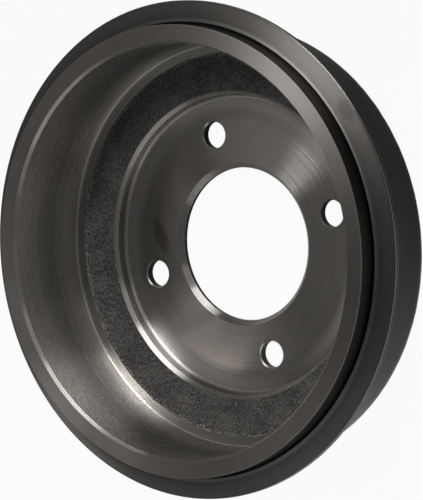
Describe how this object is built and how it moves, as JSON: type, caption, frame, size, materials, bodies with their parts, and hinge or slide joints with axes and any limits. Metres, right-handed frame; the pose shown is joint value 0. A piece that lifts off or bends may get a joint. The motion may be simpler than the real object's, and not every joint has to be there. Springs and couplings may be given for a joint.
{
  "type": "brake drum",
  "caption": "Turned cast-iron brake drum: a round cup with a lipped and flanged mouth, a recessed hub face with a centre bore, and stud holes on a circle.",
  "frame": {"origin": "centre of the bore on the face that lies against the wheel", "axes": "+Z along the drum's axis, out of the open mouth; a stud hole lies on each of +X, +Y, -X and -Y"},
  "size_m": [0.2444, 0.2444, 0.062],
  "materials": {
    "cast_iron": "turned bright on the mouth, braking surface and hub faces; as cast on the web and outside"
  },
  "bodies": {
    "root": {"brake_drum": "cast_iron"}
  },
  "joints": []
}
